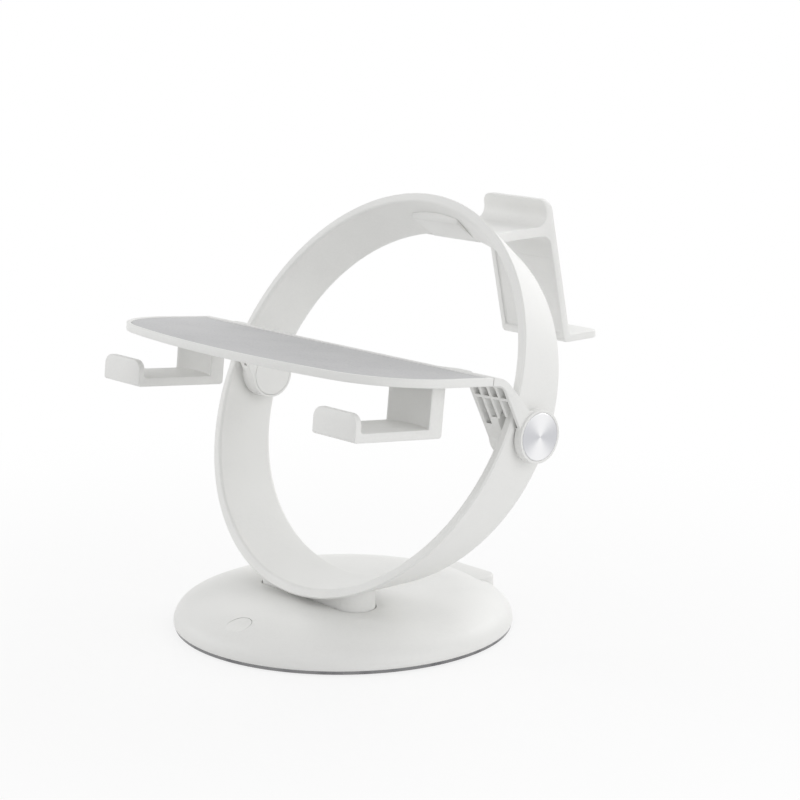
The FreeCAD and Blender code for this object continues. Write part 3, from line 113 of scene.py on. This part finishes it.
# %% A finish and its nodes
class Finish:
    """A procedural material and the few patterns that the finishes share."""

    def __init__(self, name, colour, roughness, **constants):
        self.material = bpy.data.materials.new(name)
        self.material.use_nodes = True
        self.tree = self.material.node_tree
        self.shader = self.tree.nodes["Principled BSDF"]
        self.shader.inputs["Base Color"].default_value = (*colour, 1)
        self.shader.inputs["Roughness"].default_value = roughness
        for label, value in constants.items():
            self.shader.inputs[label.replace("_", " ")].default_value = value
        self.colour = colour
        self.place = self.node("ShaderNodeTexCoord", {}, {}, "Object")

    def node(self, kind, settings, values, output=0):
        """Add any node: its settings first, then the values or links of its sockets."""
        made = self.tree.nodes.new(kind)
        for label, value in settings.items():
            setattr(made, label, value)
        for label, value in values.items():
            if isinstance(value, Amount):
                self.tree.links.new(value.socket, made.inputs[label])
            else:
                made.inputs[label].default_value = value
        return Amount(self, made.outputs[output])

    def noise(self, size, detail=2.0, roughness=0.5, place=None):
        """Soft spots about as wide as size, from 0 to 1."""
        values = {"Vector": place or self.place, "Scale": 1 / size, "Detail": detail, "Roughness": roughness}
        return self.node("ShaderNodeTexNoise", {}, values)

    def ramp(self, amount, low, high):
        """0 below low, 1 above high and a smooth step between."""
        settings = {"interpolation_type": "SMOOTHSTEP"}
        return self.node("ShaderNodeMapRange", settings, {"Value": amount, "From Min": low, "From Max": high})

    def greater(self, first, second):
        """The greater of two values."""
        return self.node("ShaderNodeMath", {"operation": "MAXIMUM"}, {0: first, 1: second})

    def vector(self, operation, first, second=None, output=0):
        """A sum on vectors."""
        values = {0: first} if second is None else {0: first, 1: second}
        return self.node("ShaderNodeVectorMath", {"operation": operation}, values, output)

    def part_of(self, vector, letter):
        """The X, Y or Z of a vector."""
        return self.node("ShaderNodeSeparateXYZ", {}, {"Vector": vector}, letter)

    def set_colour(self, mask, other):
        """Blend the base colour with another one by a mask."""
        mixed = self.node("ShaderNodeMix", {"data_type": "RGBA"},
                          {0: mask, 6: (*self.colour, 1), 7: (*other, 1)}, 2)
        self.tree.links.new(mixed.socket, self.shader.inputs["Base Color"])

    def set_roughness(self, amount):
        """Let the gloss change over the surface."""
        self.tree.links.new(amount.socket, self.shader.inputs["Roughness"])

    def set_bump(self, height, depth, strength=1.0):
        """Raise the surface by height, from 0 to 1, times a depth in metres."""
        bump = self.node("ShaderNodeBump", {}, {"Height": height, "Distance": depth, "Strength": strength})
        self.tree.links.new(bump.socket, self.shader.inputs["Normal"])


# %% [markdown]
# Every finish has a second, darker tint of its own colour for the places that its
# pattern picks out. One helper works it out in Python, so no node is needed for it.


# %% A darker tint
def darker(colour, share):
    return tuple(value * share for value in colour)


# %% [markdown]
# ## The moulded white plastic
# The ring, base, tray, brackets, hooks and cradle are one white plastic, moulded in
# a finely eroded tool. Its surface is a fine grain of about a third of a millimetre
# that scatters the light. Handling and the flow of the plastic leave broad, very
# faint changes in gloss and tint. The grain goes to the bump, the broad changes to
# roughness and colour.

# %% White plastic
WHITE = (0.85, 0.85, 0.835)
WHITE_GLOSS = 0.46


def moulded_plastic(name):
    finish = Finish(name, WHITE, WHITE_GLOSS, IOR=1.47, Specular_IOR_Level=0.5, Coat_Roughness=0.35)
    broad = finish.noise(34 * MM, detail=3)
    grain = finish.noise(0.34 * MM, detail=3, roughness=0.6)
    speck = finish.noise(1.3 * MM, detail=2)
    finish.set_colour(finish.ramp(broad * 0.7 + speck * 0.3, 0.42, 0.78), darker(WHITE, 0.955))
    finish.set_roughness(WHITE_GLOSS - 0.05 + broad * 0.07 + grain * 0.05)
    finish.relief = grain * 0.8 + speck * 0.2
    finish.set_bump(finish.relief, 0.035 * MM, 0.6)
    return finish


white_plastic = moulded_plastic("white moulded plastic").material
print("made", white_plastic.name)

# %% [markdown]
# The touch dimple in the base is a thumb-sized dish. It is stepped at the rear and
# runs out to nothing at the front. The solid has the dish; the step is so low that it
# is drawn as relief in the finish of the cover. The relief falls across the rim of a
# circle and fades to the front, and the grain of the plastic goes on over it.

# %% White plastic with the rim of the touch dimple
DIMPLE = (5.0 * MM, -66.5 * MM)
DIMPLE_RADIUS = 5.9 * MM
DIMPLE_STEP = 1.0 * MM
GRAIN_SHARE = 0.035


def dimpled_plastic():
    finish = moulded_plastic("white moulded plastic of the base")
    away = finish.vector("SUBTRACT", finish.place, (*DIMPLE, 0))
    flat = finish.vector("MULTIPLY", away, (1, 1, 0))
    reach = finish.vector("LENGTH", flat, output="Value")
    inward = finish.part_of(away, "Y")
    inside = 1 - finish.ramp(reach, DIMPLE_RADIUS - 0.25 * MM, DIMPLE_RADIUS + 0.25 * MM)
    depth = finish.ramp(inward, -0.9 * DIMPLE_RADIUS, 0.9 * DIMPLE_RADIUS)
    finish.set_bump(finish.relief * GRAIN_SHARE - inside * depth, DIMPLE_STEP, 1.0)
    return finish.material


base_plastic = dimpled_plastic()
print("made", base_plastic.name)

# %% [markdown]
# ## Metals
# The trim under the base and the caps of the pivots were turned or spun, and both
# carry fine lines round one axis. Such lines could be rings drawn by a wave texture,
# but those are too even. A noise that is read only along the distance from the axis
# gives lines of uneven width and depth, so one helper gives that distance.


# %% Distance from a turning axis
def turned_lines(finish, axis, centre, pitch):
    """The way from a centre, and fine uneven lines round an axis through it."""
    away = finish.vector("SUBTRACT", finish.place, centre)
    flat = finish.vector("MULTIPLY", away, tuple(0 if k == axis else 1 for k in range(3)))
    reach = finish.vector("LENGTH", flat, output="Value")
    spot = finish.node("ShaderNodeCombineXYZ", {}, {"X": reach, "Y": 0.0, "Z": 0.0})
    fine = finish.noise(pitch, detail=3, roughness=0.65, place=spot)
    coarse = finish.noise(7 * pitch, detail=2, place=spot)
    return away, fine * 0.7 + coarse * 0.3


# %% [markdown]
# The trim is a polished ring: nearly mirror smooth, with the faint circular lines
# that a lathe leaves. A haze of broad spots keeps its reflection from being perfect.


# %% Polished trim
def polished_trim():
    finish = Finish("polished trim", (0.24, 0.24, 0.245), 0.13, Metallic=1.0)
    _, lines = turned_lines(finish, 2, (0, 0, 0), 0.25 * MM)
    haze = finish.noise(9 * MM, detail=3)
    finish.set_roughness(0.09 + lines * 0.07 + haze * 0.06)
    finish.set_colour(finish.ramp(haze, 0.45, 0.75), (0.17, 0.17, 0.178))
    finish.set_bump(lines, 0.004 * MM, 0.5)
    return finish.material


# %% [markdown]
# The caps are aluminium discs, spun against an abrasive: hundreds of concentric lines
# make the bright and dark fans that seem to turn about the middle. In soft light the
# reflections alone are too weak for that, so two fans are painted into the colour as a
# painted reflection, bright and dark by the angle round the axis, with the lines breaking them up.

# %% Spun aluminium
# The turn of the two painted reflection fans round the axis of the cap.
PAINTED_FAN_TURN = 0.12


def spun_aluminium():
    finish = Finish("spun aluminium", (0.90, 0.90, 0.91), 0.25, Metallic=1.0, Anisotropic=0.35)
    away, lines = turned_lines(finish, 0, (0, pivot.y, pivot.z), 0.22 * MM)
    angle = finish.node("ShaderNodeMath", {"operation": "ARCTAN2"},
                        {0: finish.part_of(away, "Z"), 1: finish.part_of(away, "Y")})
    wave = finish.node("ShaderNodeMath", {"operation": "COSINE"}, {0: (angle + PAINTED_FAN_TURN) * 2})
    painted_fans = wave * 0.5 + 0.5
    # Painted reflection: the tint is darker across two fans set by the angle round the axis; along the turned
    # lines the darker tint is their own tone.
    finish.set_colour(finish.ramp(painted_fans * 0.8 + lines * 0.45, 0.15, 1.15), (0.60, 0.605, 0.63))
    finish.set_roughness(0.2 + lines * 0.2)
    finish.set_bump(lines, 0.03 * MM, 0.8)
    return finish.material


# %% [markdown]
# Bolts, screws, ballast and the socket are steel with a thin plating. Zinc grows in
# crystals about a millimetre wide, which show as small steps in gloss, and the bath
# leaves broad clouds that are a little darker.


# %% Zinc-plated and stamped steel
def plated_steel(name, tint, gloss):
    finish = Finish(name, tint, gloss, Metallic=1.0)
    crystals = finish.noise(1.1 * MM, detail=4, roughness=0.6)
    cloud = finish.noise(14 * MM, detail=3)
    finish.set_colour(finish.ramp(cloud, 0.4, 0.8), darker(tint, 0.82))
    finish.set_roughness(gloss - 0.06 + crystals * 0.1 + cloud * 0.06)
    finish.set_bump(crystals, 0.012 * MM, 0.5)
    return finish.material


# %% [markdown]
# ## The soft pieces and the hidden ones
# The mat that the display rests on is a thin grey sheet with a pebbled face, so that
# nothing slides or scratches. A smooth Voronoi pattern gives round pebbles that lie
# close together, which a plain noise doesn't.


# %% Pebbled mat
def pebbled_mat():
    finish = Finish("pebbled grey mat", (0.58, 0.58, 0.585), 0.72, Sheen_Weight=0.08, Sheen_Roughness=0.5)
    pebbles = finish.node("ShaderNodeTexVoronoi", {"feature": "SMOOTH_F1"},
                          {"Vector": finish.place, "Scale": 1 / (0.95 * MM), "Smoothness": 0.6})
    fine = finish.noise(0.3 * MM, detail=2)
    cloud = finish.noise(28 * MM, detail=3)
    # Painted shade: the tint is darker in the hollows between the pebbles; the broad clouds are a tone of the
    # sheet itself.
    finish.set_colour(finish.ramp(cloud * 0.6 + pebbles * 0.4, 0.35, 0.8), (0.51, 0.51, 0.52))
    finish.set_roughness(0.64 + pebbles * 0.16 + fine * 0.05)
    finish.set_bump((1 - pebbles) * 0.8 + fine * 0.2, 0.09 * MM, 0.8)
    return finish.material


# %% [markdown]
# The foot pad is dark rubber, the friction washers are nylon, and the little board
# under the touch dimple is green laminate. All three are dull solids that differ only
# in tint, gloss and the size of their grain, so they share one recipe.


# %% Rubber, nylon and laminate
def dull_solid(name, tint, gloss, grain, depth):
    finish = Finish(name, tint, gloss)
    spots = finish.noise(grain, detail=3)
    cloud = finish.noise(40 * grain, detail=2)
    finish.set_colour(finish.ramp(cloud, 0.4, 0.75), darker(tint, 0.86))
    finish.set_roughness(gloss - 0.05 + spots * 0.1)
    finish.set_bump(spots, depth, 0.6)
    return finish.material


# %% [markdown]
# The record names a material slot for each piece. One table holds the finish of each
# slot, so that solid pieces and new ones are dressed from the same place.

# %% The finish of each slot
finishes = {
    "white_plastic": white_plastic,
    "trim_metal": polished_trim(),
    "spun_aluminium": spun_aluminium(),
    "fastener_steel": plated_steel("zinc-plated steel", (0.55, 0.55, 0.56), 0.34),
    "ballast_steel": plated_steel("ballast steel", (0.33, 0.33, 0.34), 0.5),
    "socket_steel": plated_steel("stamped socket steel", (0.60, 0.60, 0.61), 0.3),
    "grey_mat": pebbled_mat(),
    "foot_rubber": dull_solid("foot rubber", (0.045, 0.045, 0.048), 0.75, 0.5 * MM, 0.05 * MM),
    "washer_nylon": dull_solid("washer nylon", (0.72, 0.72, 0.70), 0.4, 0.6 * MM, 0.01 * MM),
    "board_laminate": dull_solid("board laminate", (0.03, 0.16, 0.07), 0.35, 0.8 * MM, 0.01 * MM),
}
print("finishes:", ", ".join(sorted(finishes)))

# %% [markdown]
# Each solid piece keeps its mesh and takes the finish that the record names for it.

# %% Give every solid piece its finish
for part in frame["record"]["subparts"]:
    piece = nodes[part["node"]]
    for place in piece.material_slots:
        place.material = finishes[part["material_slot"]]
    if not piece.material_slots:
        piece.data.materials.append(finishes[part["material_slot"]])

# %% [markdown]
# ## Soft edges
# No moulded edge is a knife edge: the tool gives each a small radius, and that radius
# catches a fine line of light. The solid's own mesh can't be changed, so a copy
# stands for it. A solid comes as loose triangles: the copy is merged into one skin
# and its flat faces are joined, because a bevel needs whole faces to work on.


# %% Select nothing, then one piece
def only(piece):
    bpy.ops.object.select_all(action="DESELECT")
    piece.select_set(True)
    bpy.context.view_layer.objects.active = piece


# %% A copy with its triangles joined
MERGE_WITHIN = 0.002 * MM
FLAT_WITHIN = math.radians(0.4)


def joined_copy(node, name):
    """A copy of a solid piece as one skin with its flat faces joined."""
    piece = nodes[node].copy()
    piece.data = nodes[node].data.copy()
    piece.name = name
    for key in list(piece.keys()):
        del piece[key]
    piece.parent = None
    bpy.context.scene.collection.objects.link(piece)
    only(piece)
    bpy.ops.object.mode_set(mode="EDIT")
    bpy.ops.mesh.select_all(action="SELECT")
    bpy.ops.mesh.remove_doubles(threshold=MERGE_WITHIN)
    bpy.ops.mesh.dissolve_limited(angle_limit=FLAT_WITHIN)
    bpy.ops.object.mode_set(mode="OBJECT")
    return piece


# %% [markdown]
# A bevel could be set edge by edge. A bevel modifier that finds sharp edges by their
# angle does the same for a whole moulding at once. It is applied, the piece is shaded
# smooth across what is left, and it then stands for its solid and moves with it.

# %% Bevel, smooth and put on its body
SHARP = 32
SMOOTH_BELOW = 38


def dress_as(piece, node, body):
    """Let a piece stand for its node and move with a body."""
    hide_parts(node)
    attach(piece, body)
    print(piece.name, "faces", len(piece.data.polygons))


def soften(piece, width):
    """Round every sharp edge of a moulding."""
    only(piece)
    bevel = piece.modifiers.new("soft edges", "BEVEL")
    bevel.width = width
    bevel.segments = 2
    bevel.limit_method = "ANGLE"
    bevel.angle_limit = math.radians(SHARP)
    bevel.use_clamp_overlap = False
    bpy.ops.object.modifier_apply(modifier=bevel.name)
    bpy.ops.object.shade_smooth_by_angle(angle=math.radians(SMOOTH_BELOW))


# %% [markdown]
# The brackets are mouldings of their own, pushed under the tray, and a fine shadow
# line shows where their skin meets the tray's side. The face of each bracket that
# touches the tray is found in the tray's own directions and drawn back a little.

# %% A shadow gap between the tray and its brackets
SEAM = -30.5 * MM
SEAM_WITHIN = 0.02 * MM


def open_seam(piece, gap):
    """Draw the face of a bracket back from the tray by a small gap."""
    only(piece)
    tilted_to_level = level_to_tilted.inverted()
    bpy.ops.object.mode_set(mode="EDIT")
    bpy.ops.mesh.select_all(action="DESELECT")
    bpy.ops.object.mode_set(mode="OBJECT")
    for vertex in piece.data.vertices:
        vertex.select = abs((tilted_to_level @ vertex.co).y - SEAM) < SEAM_WITHIN
    print(piece.name, "seam corners moved:", sum(vertex.select for vertex in piece.data.vertices))
    bpy.ops.object.mode_set(mode="EDIT")
    bpy.ops.transform.translate(value=level_to_tilted.to_3x3() @ Vector((0, gap, 0)))
    bpy.ops.object.mode_set(mode="OBJECT")


# %% [markdown]
# The hooks and the cradle have the largest edge radius. The brackets get the smallest
# one, because their ribs are only a millimetre thick. The ring keeps the solid's own
# mesh. The cover takes the finish with the dimple.

# %% Soft edges for the moulded pieces
SEAM_GAP = 0.35 * MM

softened = [
    ("tray_plate", 0.35 * MM, "tray"),
    ("bracket_right", 0.12 * MM, "tray"),
    ("bracket_left", 0.12 * MM, "tray"),
    ("hook_right", 0.5 * MM, "tray"),
    ("hook_left", 0.5 * MM, "tray"),
    ("cradle", 0.5 * MM, "stand"),
    ("port_housing", 0.3 * MM, "stand"),
    ("base_cover", 0.3 * MM, "stand"),
]
for node, width, body in softened:
    piece = joined_copy(node, f"soft_{node}")
    if node.startswith("bracket"):
        open_seam(piece, SEAM_GAP)
    soften(piece, width)
    dress_as(piece, node, body)
bpy.data.objects["soft_base_cover"].material_slots[0].material = base_plastic

# %% [markdown]
# ## The mat
# The mat is a soft sheet a millimetre thick that fills the tray inside its lip. Its
# cut edge rolls over slightly, rounder than any moulded edge. The outline is the
# solid mat's own outline, and the same bevel with more steps makes the roll.

# %% The soft mat
mat = joined_copy("tray_mat", "soft_mat")
only(mat)
roll = mat.modifiers.new("rolled edge", "BEVEL")
roll.width = 0.35 * MM
roll.segments = 4
roll.limit_method = "ANGLE"
roll.angle_limit = math.radians(40)
bpy.ops.object.modifier_apply(modifier=roll.name)
bpy.ops.object.shade_smooth_by_angle(angle=math.radians(35))
dress_as(mat, "tray_mat", "tray")

# %% [markdown]
# ## The spun caps
# Each cap is a thin disc that was spun and then turned to size: a small chamfer at
# the rim and a barely dished face. It starts as a flat circle at the foot of the cap,
# is extruded to its thickness with the last step shrunk for the chamfer, and its face
# is inset three times and drawn in by less than a tenth of a millimetre.

# %% One cap
CHAMFER = 0.28 * MM
DISH = [(0.5 * MM, 0), (3.5 * MM, -0.06 * MM), (3.0 * MM, -0.03 * MM)]


def spun_cap(side, sign):
    low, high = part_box(f"cap_{side}")
    radius = (high.z - low.z) / 2
    thick = high.x - low.x
    outer = high.x if sign > 0 else low.x
    bpy.ops.object.select_all(action="DESELECT")
    bpy.ops.mesh.primitive_circle_add(vertices=128, radius=radius, fill_type="NGON",
                                      location=(outer - sign * thick, pivot.y, pivot.z),
                                      rotation=(0, sign * math.pi / 2, 0))
    cap = bpy.context.active_object
    cap.name = f"spun_cap_{side}"
    bpy.ops.object.transform_apply(location=True, rotation=True, scale=True)
    bpy.ops.object.mode_set(mode="EDIT")
    bpy.ops.mesh.select_all(action="SELECT")
    for rise in (thick - CHAMFER, CHAMFER):
        bpy.ops.mesh.extrude_region_move(TRANSFORM_OT_translate={"value": (sign * rise, 0, 0)})
    shrink = (radius - CHAMFER) / radius
    bpy.ops.transform.resize(value=(1, shrink, shrink), center_override=(outer, pivot.y, pivot.z))
    for thickness, depth in DISH:
        bpy.ops.mesh.inset(thickness=thickness, depth=depth)
    bpy.ops.mesh.select_all(action="SELECT")
    bpy.ops.mesh.normals_make_consistent(inside=False)
    bpy.ops.object.mode_set(mode="OBJECT")
    bpy.ops.object.shade_smooth_by_angle(angle=math.radians(20))
    cap.data.materials.append(finishes["spun_aluminium"])
    return cap


for side, sign in (("right", 1), ("left", -1)):
    dress_as(spun_cap(side, sign), f"cap_{side}", "tray")

# %% [markdown]
# ## Floor and background
# The stand is shown on plain white. The floor is a wide pale sheet, a hair below the
# foot pad so that the two don't fight. Near the stand it is mostly lit, which keeps
# the shadow. Further out it blends to plain white, so no horizon shows. The blend is
# for what the camera and the reflections see and doesn't light the stand.

# %% The floor
FLOOR_SIZE = 30
FLOOR_DROP = 0.2 * MM
SHADOW_REACH = 0.09
WHITE_REACH = 0.45


def pale_floor():
    bpy.ops.object.select_all(action="DESELECT")
    bpy.ops.mesh.primitive_plane_add(size=FLOOR_SIZE, location=(0, 0, -FLOOR_DROP))
    floor = bpy.context.active_object
    floor.name = "floor"
    finish = Finish("pale floor", (0.9, 0.9, 0.9), 0.9)
    cloud = finish.noise(0.4, detail=2)
    finish.set_colour(finish.ramp(cloud, 0.4, 0.8), (0.895, 0.895, 0.895))
    glow = finish.node("ShaderNodeEmission", {}, {"Color": (1, 1, 1, 1), "Strength": 1.0})
    seen, mirrored, passed = (finish.node("ShaderNodeLightPath", {}, {}, f"Is {kind} Ray")
                              for kind in ("Camera", "Glossy", "Transmission"))
    reach = finish.vector("LENGTH", finish.place, output="Value")
    whiteness = finish.ramp(reach, SHADOW_REACH, WHITE_REACH) * 0.2 + 0.8
    weight = finish.greater(finish.greater(seen, mirrored), passed) * whiteness
    lit = Amount(finish, finish.shader.outputs[0])
    both = finish.node("ShaderNodeMixShader", {}, {0: weight, 1: lit, 2: glow})
    finish.tree.links.new(both.socket, finish.tree.nodes["Material Output"].inputs["Surface"])
    floor.data.materials.append(finish.material)


pale_floor()

# %% [markdown]
# A white room could simply be bright, but then it would wash out the stand. Light Path
# tells what a ray is for: the camera and reflections see plain white, and every other
# ray gets the softer strength that lights the stand from all sides.

# %% The room
ROOM_LIGHT = 0.62


def white_room():
    world = bpy.data.worlds.new("white room")
    bpy.context.scene.world = world
    world.use_nodes = True
    tree = world.node_tree
    tree.nodes.clear()
    path = tree.nodes.new("ShaderNodeLightPath")
    shown = path.outputs["Is Camera Ray"]
    for kind in ("Glossy", "Transmission"):
        either = tree.nodes.new("ShaderNodeMath")
        either.operation = "MAXIMUM"
        tree.links.new(shown, either.inputs[0])
        tree.links.new(path.outputs[f"Is {kind} Ray"], either.inputs[1])
        shown = either.outputs[0]
    mix = tree.nodes.new("ShaderNodeMixShader")
    tree.links.new(shown, mix.inputs[0])
    for socket, strength in ((1, ROOM_LIGHT), (2, 1.0)):
        background = tree.nodes.new("ShaderNodeBackground")
        background.inputs["Color"].default_value = (1, 1, 1, 1)
        background.inputs["Strength"].default_value = strength
        tree.links.new(background.outputs[0], mix.inputs[socket])
    out = tree.nodes.new("ShaderNodeOutputWorld")
    tree.links.new(mix.outputs[0], out.inputs["Surface"])


white_room()

# %% [markdown]
# ## Lamps
# Three large lamps shape the stand: one in front on the left, one on the right and
# one behind. Each is about a metre wide, because a large lamp near a small object
# gives the soft shadows of a studio. All look at the middle of the stand.

# %% Three soft lamps
LAMP_AIM = Vector((0, 0.02, 0.1))

lamps = [
    ("left lamp", (-1.3, -0.9, 0.8), (1.1, 1.1), 6.7),
    ("right lamp", (1.5, 0.25, 0.6), (0.9, 1.1), 5.1),
    ("rear lamp", (-0.2, 1.4, 0.9), (1.2, 0.8), 7.9),
]
for name, place, size, watts in lamps:
    bpy.ops.object.select_all(action="DESELECT")
    bpy.ops.object.light_add(type="AREA", location=place)
    lamp = bpy.context.active_object
    lamp.name = name
    lamp.data.shape = "RECTANGLE"
    lamp.data.size, lamp.data.size_y = size
    lamp.data.energy = watts
    lamp.rotation_euler = (LAMP_AIM - Vector(place)).to_track_quat("-Z", "Y").to_euler()
print("lamps:", len(lamps))

# %% [markdown]
# ## The camera
# The stand was photographed from the front and right, from a little above, with a
# long lens. The place and lens were worked out from the base, the ring and the tray.
# The camera's own axes are built from the direction that its back faces, so that it
# stays level.

# %% Camera
CAMERA_PLACE = (0.7808, -0.6619, 0.3285)
CAMERA_BACK = (0.7287, -0.6515, 0.2113)

bpy.ops.object.select_all(action="DESELECT")
bpy.ops.object.camera_add(location=CAMERA_PLACE)
camera = bpy.context.active_object
camera.name = "photographer"
back = Vector(CAMERA_BACK).normalized()
right = Vector((0, 0, 1)).cross(back).normalized()
up = back.cross(right)
camera.rotation_euler = Matrix((right, up, back)).transposed().to_euler()
camera.data.sensor_width = 36
camera.data.lens = 101.0
bpy.context.scene.camera = camera
bpy.context.scene.view_settings.view_transform = "Standard"
print("camera at", [round(v, 3) for v in camera.location])
